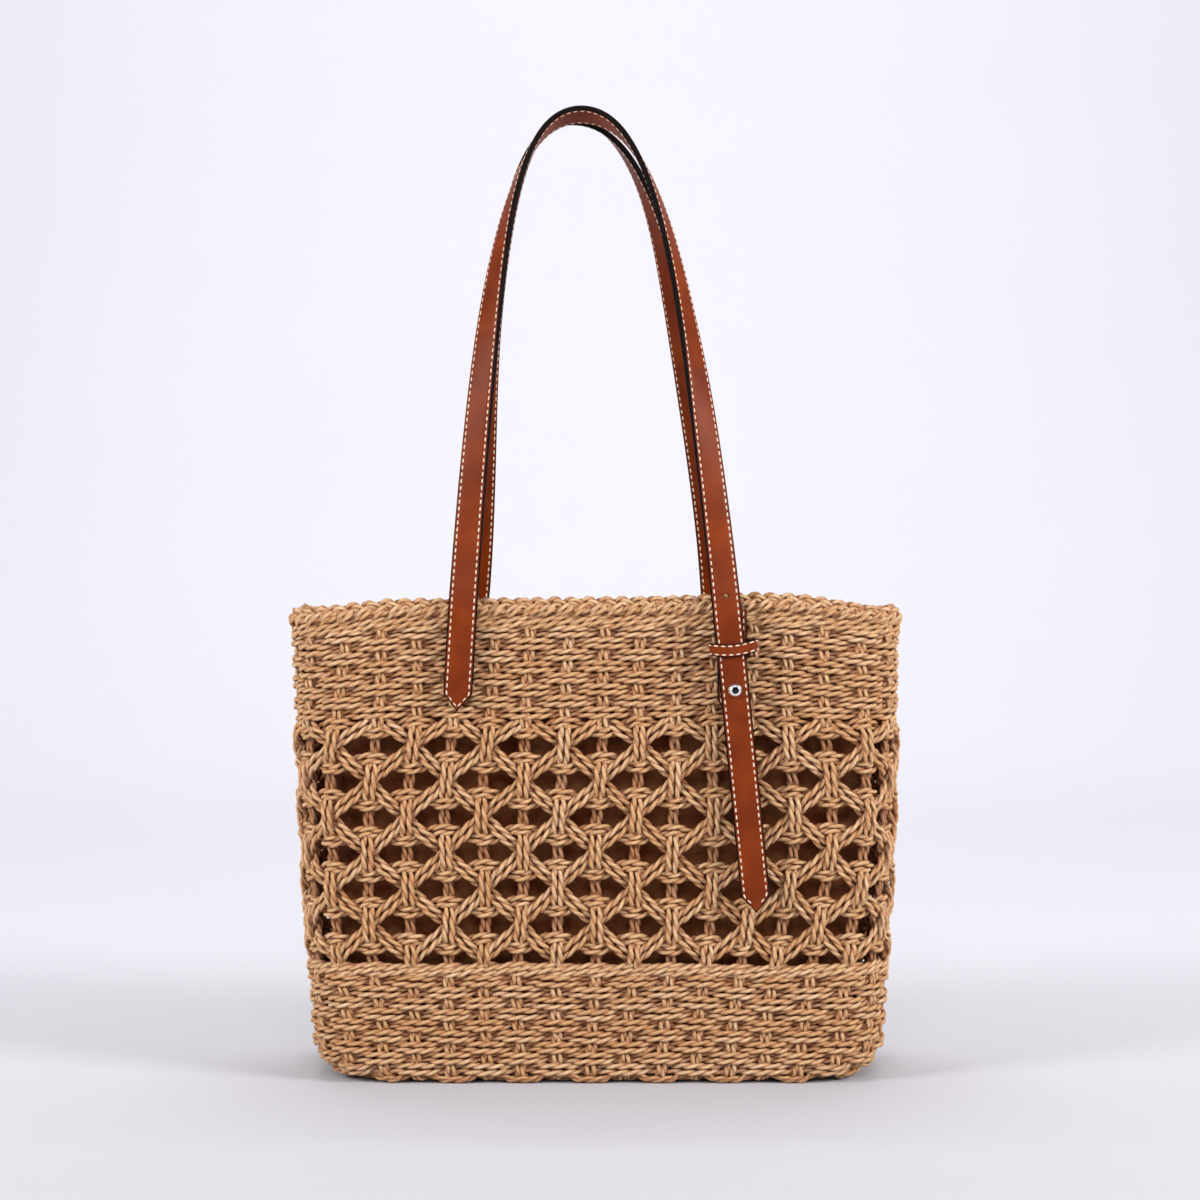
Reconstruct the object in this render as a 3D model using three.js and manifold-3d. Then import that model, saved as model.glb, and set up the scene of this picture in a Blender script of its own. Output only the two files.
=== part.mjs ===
// A woven paper-rope tote with two adjustable leather shoulder straps.
//
// Units are millimetres, +Z is up, and the origin is the middle of the underside.
// The front faces -Y. The basket is a stack of woven bands round a rounded
// rectangle: a base tray, a dense lower band, an open lattice, a dense upper band
// and a plaited rim. A cloth lining hangs inside it from a hem.
//
// Each shoulder strap is two leather plies. One end is sewn to the basket. The
// other end runs down over a sewn anchor strap, through a loose keeper loop, and is
// held by a screwed stud, below which its tail hangs free. The back strap is the
// front one turned half a turn about Z, but its crown leans the same way.

import * as THREE from "three";
import Module from "manifold-3d";
import { mergeVertices } from "three/addons/utils/BufferGeometryUtils.js";

const wasm = await Module();
wasm.setup();

const rad = THREE.MathUtils.degToRad;

// ---- Basket ------------------------------------------------------------------
const HEIGHT = 268; // underside to the top of the rim plait
const RIM_WIDTH = 340;
const RIM_DEPTH = 120;
const BASE_WIDTH = 316;
const BASE_DEPTH = 115;
const CORNER_RADIUS = 30; // of the plan outline
const CORNER_STEPS = 6; // facets round each plan corner
const WALL = 7; // over and under strands together
const SEAT = 0.3; // clearance between pieces that touch
const BASE_FILLET = 20; // underside to wall
const FILLET_STEPS = 5;
const LATTICE_BOTTOM = 66;
const LATTICE_TOP = 204;
const PLAIT_HEIGHT = 10;
const PLAIT_THICKNESS = 9.5;
const PLAIT_PROUD = 1.5; // the plait stands this far outside the wall

// ---- Open lattice ------------------------------------------------------------
const COLUMNS = 42; // warp pairs round the basket
const LATTICE_ROWS = 6;
const ROW_PITCH = 20.2;
const FIRST_ROW = 87.5; // height of the lowest row of windows
const WINDOW_WIDTH = 31;
const WINDOW_HEIGHT = 11;
const WINDOW_SHOULDER = 0.55; // share of the half width at full height
const CUTTER_DEPTH = 24;

// ---- Lining ------------------------------------------------------------------
const CLOTH = 1;
const LINING_SIDE_GAP = 7; // inside the wall at the ends
const LINING_FACE_GAP = 2.5; // inside the wall at front and back
const LINING_RADIUS = 38;
const LINING_FLOOR = WALL + 1.5;
const LINING_SOLE = 12; // how far the cloth rounds in at its floor
const LINING_FLARE = 16; // height over which it widens to the hem
const LINING_TOP = 252;
const HEM_HEIGHT = 11;
const HEM_THICKNESS = 1.2;

// ---- Straps ------------------------------------------------------------------
const STRAP_WIDTH = 16;
const PLY = 1.4;
const PLY_GAP = 0.3; // stitched together, modelled with a seat
const STRAP = 2 * PLY + PLY_GAP;
const POINT_LENGTH = 9.5; // of a strap's pointed end
const HINGE_HEIGHT = 266; // where a strap bends over the rim
const ARCH_HEIGHT = 279; // hinge line to the middle of the strap at its crown
const CROWN_REACH = RIM_DEPTH / 2 - 8.4; // how far the crown leans in from the wall
const FIXED_X = -72; // foot of the sewn leg, from the strap's middle
const ADJUSTED_X = 72; // foot of the adjustable leg
const STRAP_MIDDLE = -2; // both straps sit a little left of the middle
const CROWN_X = -9.7; // and lean further left at the crown
const LEG_PULL = 200; // length of the straight-leg handle of the arch curve
const CROWN_PULL = 40;
const LEG_STEPS = 22;
const FIXED_LEAN = 3.5; // degrees off the vertical, seen from the front
const ADJUSTED_LEAN = 5.7;
const FIXED_LENGTH = 60;
const FIXED_TILT = 2.5; // the sewn end climbs over the plait
const FIXED_OUT = 3.2; // its inner face at the hinge line, from the wall
// Twist of the strap along a leg: share of the leg, degrees from facing outward.
const TWIST = [
  [0, 0],
  [0.2, 36],
  [0.5, 56],
  [0.8, 74],
  [1, 104],
];

// ---- Adjustable end ----------------------------------------------------------
const ANCHOR_X = 3.5; // anchor centre, outboard of the adjustable foot
const ANCHOR_TOP = 262;
const ANCHOR_LENGTH = 60;
const ANCHOR_OUT = 2.1; // room for the keeper behind it
const STRAP_OUT = ANCHOR_OUT + STRAP + 0.4;
const STUD_DOWN = 48.5; // hinge line to stud, along the strap
const TAIL_DOWN = 54.5; // hinge line to where the tail bends
const TAIL_LENGTH = 117;
const STUD_HEAD_R = 3.9;
const STUD_HEAD_RISE = 3;
const STUD_NECK_R = 1.9;
const STUD_BORE_R = 1.3;
const STUD_HOLE_R = STUD_NECK_R + SEAT;
const SCREW_HEAD_R = 3.4;
const SCREW_HEAD = 1;
const SCREW_R = 1;
const SPARE_HOLE_UP = 3; // next hole for the stud, above the hinge line
const SPARE_HOLE_R = 1.5;
const KEEPER_DOWN = 26; // hinge line to the middle of the keeper
const KEEPER_HEIGHT = 7;
const KEEPER_WIDTH = 26;
const KEEPER_PLY = 1.2;
const KEEPER_OUT = 0.5;
const KEEPER_DEPTH = STRAP_OUT + STRAP + 0.4 + KEEPER_PLY - KEEPER_OUT;
const KEEPER_CORNER = 2.4;
const KEEPER_SHIFT = 1.6; // keeper centre, outboard of the strap's middle

// ---- Materials ---------------------------------------------------------------
const paint = (color, roughness, metalness = 0) =>
  new THREE.MeshStandardMaterial({ color, roughness, metalness });
const MATERIALS = {
  straw: paint(0xbf9568, 0.85),
  cloth: paint(0x8a6a4c, 0.95),
  leather: paint(0x96471c, 0.45),
  backing: paint(0x8a4520, 0.55),
  nickel: paint(0xd8d8dc, 0.15, 1),
};

// ---- Tools -------------------------------------------------------------------
const basket = new THREE.Group();

function add(group, name, geometry, material) {
  const mesh = new THREE.Mesh(geometry, MATERIALS[material]);
  mesh.name = name;
  group.add(mesh);
  return mesh;
}

function toSolid(geometry) {
  const bare = geometry.clone();
  bare.deleteAttribute("normal");
  bare.deleteAttribute("uv");
  const merged = mergeVertices(bare, 1e-4);
  return new wasm.Manifold(
    new wasm.Mesh({
      numProp: 3,
      vertProperties: merged.attributes.position.array,
      triVerts: new Uint32Array(merged.index.array),
    }),
  );
}

function toGeometry(solid) {
  const mesh = solid.getMesh();
  const geometry = new THREE.BufferGeometry();
  geometry.setAttribute("position", new THREE.BufferAttribute(mesh.vertProperties, 3));
  geometry.setIndex(new THREE.BufferAttribute(mesh.triVerts, 1));
  return geometry;
}

function cut(geometry, cutters) {
  let solid = toSolid(geometry);
  for (const cutter of cutters) solid = solid.subtract(toSolid(cutter));
  return toGeometry(solid);
}

// Skins a list of rings that all have the same number of points. The rings run
// anticlockwise seen from the end that the skin grows towards. A closed skin joins
// its last ring to its first; an open one gets a flat cap at each end. The diagonals
// mirror across the ring, so that facing sides of two twisted plies stay parallel.
function skin(rings, closed) {
  const around = rings[0].length;
  const points = rings.flat();
  const index = [];
  const joins = closed ? rings.length : rings.length - 1;
  for (let i = 0; i < joins; i++) {
    const low = i * around;
    const high = ((i + 1) % rings.length) * around;
    for (let j = 0; j < around; j++) {
      const k = (j + 1) % around;
      if (j < around / 2) index.push(low + j, low + k, high + k, low + j, high + k, high + j);
      else index.push(low + j, low + k, high + j, low + k, high + k, high + j);
    }
  }
  if (!closed) {
    const last = (rings.length - 1) * around;
    for (let j = 1; j < around - 1; j++) {
      index.push(0, j + 1, j);
      index.push(last, last + j, last + j + 1);
    }
  }
  const geometry = new THREE.BufferGeometry().setFromPoints(points);
  geometry.setIndex(index);
  return geometry;
}

// ---- Basket ------------------------------------------------------------------
const widthAt = (z) => BASE_WIDTH + ((RIM_WIDTH - BASE_WIDTH) * z) / HEIGHT;
const depthAt = (z) => BASE_DEPTH + ((RIM_DEPTH - BASE_DEPTH) * z) / HEIGHT;

// A rounded rectangle as a ring of points at height z, inset from the outer wall.
function planRing(z, endInset, faceInset, radius) {
  const halfX = widthAt(z) / 2 - endInset - radius;
  const halfY = depthAt(z) / 2 - faceInset - radius;
  const corners = [
    [halfX, -halfY, -90],
    [halfX, halfY, 0],
    [-halfX, halfY, 90],
    [-halfX, -halfY, 180],
  ];
  return corners.flatMap(([x, y, start]) =>
    Array.from({ length: CORNER_STEPS + 1 }, (_, i) => {
      const angle = rad(start + (90 * i) / CORNER_STEPS);
      return new THREE.Vector3(x + radius * Math.cos(angle), y + radius * Math.sin(angle), z);
    }),
  );
}

const wallRing = (z, inset) => planRing(z, inset, inset, CORNER_RADIUS - inset);

function wallBand(bottom, top) {
  const rings = [wallRing(bottom, 0), wallRing(top, 0), wallRing(top, WALL), wallRing(bottom, WALL)];
  return skin(rings, true);
}

function baseTray() {
  const rings = [];
  for (let i = 0; i <= FILLET_STEPS; i++) {
    const angle = rad((90 * i) / FILLET_STEPS);
    const inset = BASE_FILLET * (1 - Math.sin(angle));
    rings.push(wallRing(BASE_FILLET * (1 - Math.cos(angle)), inset));
  }
  const inner = BASE_FILLET - WALL;
  for (let i = FILLET_STEPS; i >= 0; i--) {
    const angle = rad((90 * i) / FILLET_STEPS);
    const inset = WALL + inner * (1 - Math.sin(angle));
    rings.push(wallRing(BASE_FILLET - inner * Math.cos(angle), inset));
  }
  return skin(rings, false);
}

// The wall's plan line at height z, starting at the middle of the front.
function planPath(z) {
  const halfX = widthAt(z) / 2 - WALL / 2;
  const halfY = depthAt(z) / 2 - WALL / 2;
  const r = CORNER_RADIUS - WALL / 2;
  const quarter = Math.PI / 2;
  const path = new THREE.Path();
  path.moveTo(0, -halfY);
  path.lineTo(halfX - r, -halfY);
  path.absarc(halfX - r, -halfY + r, r, -quarter, 0);
  path.lineTo(halfX, halfY - r);
  path.absarc(halfX - r, halfY - r, r, 0, quarter);
  path.lineTo(-halfX + r, halfY);
  path.absarc(-halfX + r, halfY - r, r, quarter, 2 * quarter);
  path.lineTo(-halfX, -halfY + r);
  path.absarc(-halfX + r, -halfY + r, r, 2 * quarter, 3 * quarter);
  path.lineTo(0, -halfY);
  return path;
}

function windowCutter(column, z) {
  const path = planPath(z);
  const share = column / COLUMNS;
  const centre = path.getPointAt(share);
  const along = path.getTangentAt(share);
  const a = WINDOW_WIDTH / 2;
  const b = WINDOW_HEIGHT / 2;
  const c = a * WINDOW_SHOULDER;
  const shape = new THREE.Shape();
  shape.moveTo(-a, 0);
  [[-c, -b], [c, -b], [a, 0], [c, b], [-c, b]].forEach(([x, y]) => shape.lineTo(x, y));
  const cutter = new THREE.ExtrudeGeometry(shape, { depth: CUTTER_DEPTH, bevelEnabled: false });
  cutter.translate(0, 0, -CUTTER_DEPTH / 2);
  const right = new THREE.Vector3(along.x, along.y, 0);
  const up = new THREE.Vector3(0, 0, 1);
  const out = right.clone().cross(up);
  const place = new THREE.Matrix4().makeBasis(right, up, out);
  place.setPosition(centre.x, centre.y, z);
  return cutter.applyMatrix4(place);
}

// Windows stand between the warp posts, in every other column, offset row by row.
function latticeBand() {
  const cutters = [];
  for (let row = 0; row < LATTICE_ROWS; row++)
    for (let column = row % 2; column < COLUMNS; column += 2)
      cutters.push(windowCutter(column + 1, FIRST_ROW + row * ROW_PITCH));
  return cut(wallBand(LATTICE_BOTTOM + SEAT, LATTICE_TOP), cutters);
}

// Eight-sided section that follows the rim.
function rimPlait() {
  const sides = 8;
  const stretch = 1 / Math.cos(Math.PI / sides);
  const halfThickness = (PLAIT_THICKNESS / 2) * stretch;
  const halfHeight = (PLAIT_HEIGHT / 2) * stretch;
  const rings = Array.from({ length: sides }, (_, i) => {
    const angle = ((i + 0.5) / sides) * 2 * Math.PI;
    const inset = PLAIT_THICKNESS / 2 - PLAIT_PROUD - halfThickness * Math.cos(angle);
    return wallRing(HEIGHT - PLAIT_HEIGHT / 2 + halfHeight * Math.sin(angle), inset);
  });
  return skin(rings, true);
}

function liningRing(z, inset) {
  const ends = WALL + LINING_SIDE_GAP + inset;
  const faces = WALL + LINING_FACE_GAP + inset;
  return planRing(z, ends, faces, LINING_RADIUS - inset);
}

function hemRing(z, inset) {
  const fromWall = WALL + SEAT + inset;
  return planRing(z, fromWall, fromWall, CORNER_RADIUS - fromWall);
}

// The pouch hangs clear of the weave and flares out to meet the hem at its top.
function liningPouch() {
  const top = LINING_TOP - HEM_HEIGHT - SEAT;
  return skin(
    [
      liningRing(LINING_FLOOR, LINING_SOLE),
      liningRing(LINING_FLOOR + LINING_SOLE, 0),
      liningRing(top - LINING_FLARE, 0),
      hemRing(top, 0),
      hemRing(top, CLOTH),
      liningRing(top - LINING_FLARE, CLOTH),
      liningRing(LINING_FLOOR + LINING_SOLE, CLOTH),
      liningRing(LINING_FLOOR + CLOTH, LINING_SOLE + CLOTH / 2),
    ],
    false,
  );
}

// The hem is the pouch's folded edge, sewn to the inside of the wall.
function liningHem() {
  const bottom = LINING_TOP - HEM_HEIGHT;
  return skin(
    [
      hemRing(bottom, 0),
      hemRing(LINING_TOP, 0),
      hemRing(LINING_TOP, HEM_THICKNESS),
      hemRing(bottom, HEM_THICKNESS),
    ],
    true,
  );
}

add(basket, "woven_base", baseTray(), "straw");
add(basket, "woven_lower_band", wallBand(BASE_FILLET + SEAT, LATTICE_BOTTOM), "straw");
add(basket, "woven_lattice_band", latticeBand(), "straw");
add(basket, "woven_upper_band", wallBand(LATTICE_TOP + SEAT, HEIGHT - PLAIT_HEIGHT - SEAT), "straw");
add(basket, "rim_plait", rimPlait(), "straw");
add(basket, "lining_pouch", liningPouch(), "cloth");
add(basket, "lining_hem", liningHem(), "cloth");

// ---- Straps ------------------------------------------------------------------
// A side's pieces are laid out on its panel: x to the right, y up and z out of the
// wall, all from the basket's middle at the wall's outer face.

// A flat strap that hangs from its top edge, with a pointed or a square lower end.
function flatStrap(length, pointed) {
  const half = STRAP_WIDTH / 2;
  const shape = new THREE.Shape();
  shape.moveTo(-half, 0);
  if (pointed) {
    shape.lineTo(-half, -length + POINT_LENGTH);
    shape.lineTo(0, -length);
    shape.lineTo(half, -length + POINT_LENGTH);
  } else {
    shape.lineTo(-half, -length);
    shape.lineTo(half, -length);
  }
  shape.lineTo(half, 0);
  return new THREE.ExtrudeGeometry(shape, { depth: PLY, bevelEnabled: false });
}

function drill(x, y, radius) {
  const depth = 20;
  return new THREE.CylinderGeometry(radius, radius, depth, 14).rotateX(Math.PI / 2).translate(x, y, 0);
}

// The two plies of a flat strap: the backing lies towards the wall.
function plies(group, name, length, pointed, holes = []) {
  for (const [ply, out, material] of [
    ["backing", 0, "backing"],
    ["face", PLY + PLY_GAP, "leather"],
  ]) {
    let geometry = flatStrap(length, pointed);
    if (holes.length) geometry = cut(geometry, holes.map(([x, y, r]) => drill(x, y, r)));
    add(group, `${name}_${ply}`, geometry, material).position.z = out;
  }
}

function twistAt(share) {
  const next = Math.max(1, TWIST.findIndex(([s]) => s >= share));
  const [s0, a0] = TWIST[next - 1];
  const [s1, a1] = TWIST[next];
  return rad(THREE.MathUtils.lerp(a0, a1, (share - s0) / (s1 - s0)));
}

// One leg of the arch, from its foot to the crown, as a curve on the panel.
function legCurve(footX, footOut, lean, crownX) {
  const side = Math.sign(crownX - footX);
  const leanIn = (height) => footOut + ((-CROWN_REACH - footOut) * height) / ARCH_HEIGHT;
  const at = (x, height) => new THREE.Vector3(x, HINGE_HEIGHT + height, leanIn(height));
  return new THREE.CubicBezierCurve3(
    at(footX, 0),
    at(footX + side * LEG_PULL * Math.tan(rad(lean)), LEG_PULL),
    at(crownX - side * CROWN_PULL, ARCH_HEIGHT),
    at(crownX, ARCH_HEIGHT),
  );
}

// Sections of the arch from the sewn foot over the crown to the adjustable foot.
// Each is a point with the strap's width and outward directions.
function archSections(side) {
  const middle = STRAP_MIDDLE * side;
  const crownX = CROWN_X * side;
  const fixedOut = FIXED_OUT + STRAP / 2;
  const adjustedOut = STRAP_OUT + STRAP / 2;
  const legs = [
    legCurve(middle + FIXED_X, fixedOut, FIXED_LEAN, crownX),
    legCurve(middle + ADJUSTED_X, adjustedOut, ADJUSTED_LEAN, crownX),
  ];
  const sections = [];
  legs.forEach((leg, which) => {
    for (let i = 0; i <= LEG_STEPS; i++) {
      if (which === 1 && i === LEG_STEPS) continue;
      const share = i / LEG_STEPS;
      const along = leg.getTangentAt(share).multiplyScalar(which === 0 ? 1 : -1);
      const towards = new THREE.Vector3(0, (CROWN_REACH + fixedOut) / ARCH_HEIGHT, 1);
      const front = towards.addScaledVector(along, -towards.dot(along)).normalize();
      const inward = along.clone().cross(front);
      const twist = twistAt(share);
      const width = inward.multiplyScalar(Math.cos(twist)).addScaledVector(front, Math.sin(twist));
      const at = leg.getPointAt(share);
      if (i === 0) at.y += SEAT;
      sections.push({ at, width, out: width.clone().cross(along), order: which ? 2 * LEG_STEPS - i : i });
    }
  });
  return sections.sort((a, b) => a.order - b.order);
}

function archPly(sections, inner, outer) {
  const half = STRAP_WIDTH / 2;
  const corner = ({ at, width, out }, w, o) => at.clone().addScaledVector(width, w).addScaledVector(out, o);
  const rings = sections.map((s) => [
    corner(s, -half, inner),
    corner(s, -half, outer),
    corner(s, half, outer),
    corner(s, half, inner),
  ]);
  return skin(rings, false);
}

function studHead() {
  const base = ANCHOR_OUT + 0.2;
  const seat = STRAP_OUT + STRAP + SEAT;
  const profile = [
    [STUD_BORE_R, base],
    [STUD_NECK_R, base],
    [STUD_NECK_R, seat],
    [STUD_HEAD_R * 0.85, seat],
  ];
  for (const angle of [0, 25, 50, 72])
    profile.push([
      STUD_HEAD_R * Math.cos(rad(angle)),
      seat + STUD_HEAD_RISE * (0.25 + 0.75 * Math.sin(rad(angle))),
    ]);
  profile.push([0, seat + STUD_HEAD_RISE], [0, seat], [STUD_BORE_R, seat - 0.5], [STUD_BORE_R, base]);
  const points = profile.map(([r, y]) => new THREE.Vector2(r, y));
  return new THREE.LatheGeometry(points, 20).rotateX(Math.PI / 2);
}

function studScrew() {
  const back = ANCHOR_OUT - SEAT - SCREW_HEAD;
  const tip = STRAP_OUT + STRAP - 0.6;
  const profile = [
    [0, back],
    [SCREW_HEAD_R, back],
    [SCREW_HEAD_R, back + SCREW_HEAD],
    [SCREW_R, back + SCREW_HEAD],
    [SCREW_R, tip],
    [0, tip],
  ];
  const points = profile.map(([r, y]) => new THREE.Vector2(r, y));
  return new THREE.LatheGeometry(points, 20).rotateX(Math.PI / 2);
}

function roundedLoop(path, width, depth, radius) {
  const x = width / 2;
  const y = depth / 2;
  path.moveTo(x - radius, -y);
  path.absarc(x - radius, -y + radius, radius, -Math.PI / 2, 0);
  path.absarc(x - radius, y - radius, radius, 0, Math.PI / 2);
  path.absarc(-x + radius, y - radius, radius, Math.PI / 2, Math.PI);
  path.absarc(-x + radius, -y + radius, radius, Math.PI, 1.5 * Math.PI);
  path.closePath();
  return path;
}

// A flat band closed round both straps. Its axis runs along the strap.
function keeperLoop() {
  const shape = roundedLoop(new THREE.Shape(), KEEPER_WIDTH, KEEPER_DEPTH, KEEPER_CORNER);
  const inside = roundedLoop(
    new THREE.Path(),
    KEEPER_WIDTH - 2 * KEEPER_PLY,
    KEEPER_DEPTH - 2 * KEEPER_PLY,
    KEEPER_CORNER - KEEPER_PLY,
  );
  shape.holes.push(inside);
  const loop = new THREE.ExtrudeGeometry(shape, {
    depth: KEEPER_HEIGHT,
    bevelEnabled: false,
    curveSegments: 4,
  });
  return loop.translate(0, 0, -KEEPER_HEIGHT / 2).rotateX(Math.PI / 2);
}

// Everything on one side: side is 1 for the front and -1 for the back.
function strapSide(name, side) {
  const panel = new THREE.Group();
  panel.position.y = -RIM_DEPTH / 2;
  panel.rotation.x = Math.PI / 2;
  const middle = STRAP_MIDDLE * side;

  const sewn = new THREE.Group();
  sewn.position.set(middle + FIXED_X, HINGE_HEIGHT - SEAT, FIXED_OUT);
  sewn.rotation.set(rad(FIXED_TILT), 0, rad(-FIXED_LEAN));
  plies(sewn, `${name}_fixed_end`, FIXED_LENGTH, true);

  const strapTop = new THREE.Group();
  strapTop.position.set(middle + ADJUSTED_X, HINGE_HEIGHT, STRAP_OUT);
  strapTop.rotation.z = rad(ADJUSTED_LEAN);

  const lower = new THREE.Group();
  lower.position.y = -SEAT;
  plies(lower, `${name}_buckled_strap`, TAIL_DOWN - 2 * SEAT, false, [[0, SEAT - STUD_DOWN, STUD_HOLE_R]]);

  const tail = new THREE.Group();
  tail.position.y = -TAIL_DOWN - SEAT;
  plies(tail, `${name}_tail`, TAIL_LENGTH, true);
  strapTop.add(lower, tail);

  const lean = Math.tan(rad(ADJUSTED_LEAN));
  const studX = middle + ADJUSTED_X + STUD_DOWN * Math.sin(rad(ADJUSTED_LEAN));
  const studY = HINGE_HEIGHT - STUD_DOWN * Math.cos(rad(ADJUSTED_LEAN));
  const anchor = new THREE.Group();
  anchor.position.set(middle + ADJUSTED_X + ANCHOR_X, ANCHOR_TOP, ANCHOR_OUT);
  plies(anchor, `${name}_anchor_strap`, ANCHOR_LENGTH, true, [
    [studX - anchor.position.x, studY - ANCHOR_TOP, STUD_HOLE_R],
  ]);

  const stud = new THREE.Group();
  stud.position.set(studX, studY, 0);
  add(stud, `${name}_stud`, studHead(), "nickel");
  add(stud, `${name}_stud_screw`, studScrew(), "nickel");

  const keeper = new THREE.Group();
  keeper.position.set(
    middle + ADJUSTED_X + KEEPER_DOWN * lean + KEEPER_SHIFT,
    HINGE_HEIGHT - KEEPER_DOWN,
    KEEPER_OUT + KEEPER_DEPTH / 2,
  );
  keeper.rotation.z = rad(ADJUSTED_LEAN);
  add(keeper, `${name}_keeper_loop`, keeperLoop(), "leather");

  const sections = archSections(side);
  const spare = [
    middle + ADJUSTED_X - SPARE_HOLE_UP * lean,
    HINGE_HEIGHT + SPARE_HOLE_UP,
    SPARE_HOLE_R,
  ];
  const arch = new THREE.Group();
  for (const [ply, offset, material] of [
    ["backing", -(PLY + PLY_GAP / 2), "backing"],
    ["face", PLY_GAP / 2, "leather"],
  ]) {
    const geometry = archPly(sections, offset, offset + PLY);
    add(arch, `${name}_handle_${ply}`, cut(geometry, [drill(...spare)]), material);
  }

  panel.add(sewn, strapTop, anchor, stud, keeper, arch);
  const turned = new THREE.Group();
  turned.rotation.z = side > 0 ? 0 : Math.PI;
  turned.add(panel);
  return turned;
}

basket.add(strapSide("front", 1), strapSide("back", -1));

export default basket;
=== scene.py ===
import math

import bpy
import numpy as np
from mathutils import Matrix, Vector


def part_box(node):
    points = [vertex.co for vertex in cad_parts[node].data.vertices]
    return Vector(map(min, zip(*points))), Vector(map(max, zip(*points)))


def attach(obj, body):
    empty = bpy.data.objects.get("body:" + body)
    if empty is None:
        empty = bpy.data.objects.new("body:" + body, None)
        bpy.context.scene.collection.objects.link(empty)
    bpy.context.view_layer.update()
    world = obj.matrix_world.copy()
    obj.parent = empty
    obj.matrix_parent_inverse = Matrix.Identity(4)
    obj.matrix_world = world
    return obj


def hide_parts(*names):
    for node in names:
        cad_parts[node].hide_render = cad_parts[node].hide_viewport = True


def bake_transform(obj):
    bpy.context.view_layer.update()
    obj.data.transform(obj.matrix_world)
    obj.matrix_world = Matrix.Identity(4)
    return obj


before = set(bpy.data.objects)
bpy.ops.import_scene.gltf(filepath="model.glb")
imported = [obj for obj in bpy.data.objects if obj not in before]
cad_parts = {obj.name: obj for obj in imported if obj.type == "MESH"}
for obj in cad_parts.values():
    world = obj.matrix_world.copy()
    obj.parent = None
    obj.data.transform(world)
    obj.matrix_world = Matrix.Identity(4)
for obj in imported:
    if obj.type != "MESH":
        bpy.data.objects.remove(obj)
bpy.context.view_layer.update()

# A woven paper-rope tote with a cloth lining and two leather shoulder straps.
#
# Shapes are worked out in millimetres and turned into metres when a mesh is made.
# The basket is swept rope by rope over a "shell": a rounded-rectangle wall that turns
# under at the base. A place on the shell is a column round it, a distance down from
# the rim, and a distance out of it. A strap is laid out on its panel: x to the right,
# y up, and z out of the wall.

MM = 0.001
rng = np.random.default_rng(11)


def cad_box(node):
    low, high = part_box(node)
    return np.array(low) / MM, np.array(high) / MM


# ---- Basket sizes, from the CAD nodes ----
TOP = cad_box("rim_plait")[1][2]
RIM_HALF_X, RIM_HALF_Y = cad_box("woven_upper_band")[1][:2]
RIM_HALF_X += 2.2  # the ropes stand out past the wall there
BASE_HALF_X, BASE_HALF_Y = 160.0, 58.5
CORNER = 30.0
MID = 3.7  # the strands' middle layer, inside the wall's outer face
FLOOR = 3.2  # height of that layer on the underside
RESTING = 2.2  # no rope's middle lies lower than this
FACE_FILLET, END_FILLET = 2.0, 20.0
FACE_UNTIL, END_FROM = 5.4, 8.6  # columns from a face's middle; the fillet grows between them
BULGE = 2.0  # the ends swell this much at mid height
COLUMNS = 42
FACE_COLUMNS = 7  # columns from the middle of the front to its corner
FACE_SHARE = 0.0239  # share of the way round from one front column to the next
OPEN_SHARE = 0.0016  # added to it in the open lattice
OPEN_MIDDLE, OPEN_SPREAD = 130.0, 72.0  # height of the open lattice
COLUMN_LEAN = 0.0016  # columns per millimetre of height
CORNER_DIP, LEFT_DIP, BACK_DIP = 5.6, 1.0, 3.0  # how far the rim sags
FRONT_LIFT, BACK_LIFT = 2.4, 1.0  # how far it rides up
BUCKLE_X, BUCKLE_SPREAD = 88.0, 40.0  # and where
SWAY = 1.7  # how far the ends lean
DRIFT_COLUMNS, DRIFT_DOWN = 0.055, 0.8

# ---- Rope sizes ----
LAY = 15.0  # length of one full twist
RING_STEP = 1.3
LOBE = (0.8, 1.18)  # middle of a ply from the rope's middle, and its radius
PLY_ANGLES = np.radians([22, 58, 90, 122, 158, 202, 238, 270, 302, 338])
# painted shade weights round a rope: heaviest at the waists between its plies, where the grooves
# fall into shade
WAIST_SHADE = np.array([0, 0.35, 1, 0.35, 0, 0, 0.35, 1, 0.35, 0])
PAIR = 3.25  # between the two ropes of a pair

# ---- Weave sizes: heights, and levels out of the wall's middle ----
UPPER_ROWS = 249.6 - 6.32 * np.arange(8)
TWINED_ROWS = (255.0, 62.9)
LOWER_TOP_ROW = 56.8
LOWER_PITCH = 6.1
LOWER_ROWS = 17
LATTICE_ROWS = np.array([202.5, 187.7, 167.8, 147.6, 127.4, 107.6, 87.4, 67.2])
LATTICE_WAVE = 3.0
FIRST_RING = 197.2
POST_HALF, POST_KNEE = 11.8, 7.4
TUCKED_IN = -1.9  # how deep a warp lies behind a twined row or under a post's ends
BRAID_REPEATS = 31
BRAID_TILT = math.radians(28)
BRAID_DOWN = 4.9

# ---- Lining sizes ----
LINING_IN = 7.4  # from the basket's outside to the hem
LINING_GAP = 5.5  # more than that below the hem
LINING_CORNER = 34.0
LINING_BEND = 11.0  # radius where its walls turn into its floor
COLUMN_WAY = 20.2  # length of cloth from one column to the next


def smoothstep(low, high, x):
    t = np.clip((x - low) / (high - low), 0, 1)
    return t * t * (3 - 2 * t)


def unit(v):
    return v / np.maximum(np.linalg.norm(v, axis=-1, keepdims=True), 1e-9)


def fold_column(column):
    """Distance in columns from the nearer face's middle, with the half it lies in."""
    c = np.mod(column, COLUMNS)
    left = c > COLUMNS / 2
    half = np.where(left, COLUMNS - c, c)
    back = half > COLUMNS / 4
    return np.where(back, COLUMNS / 2 - half, half), left, back


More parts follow.
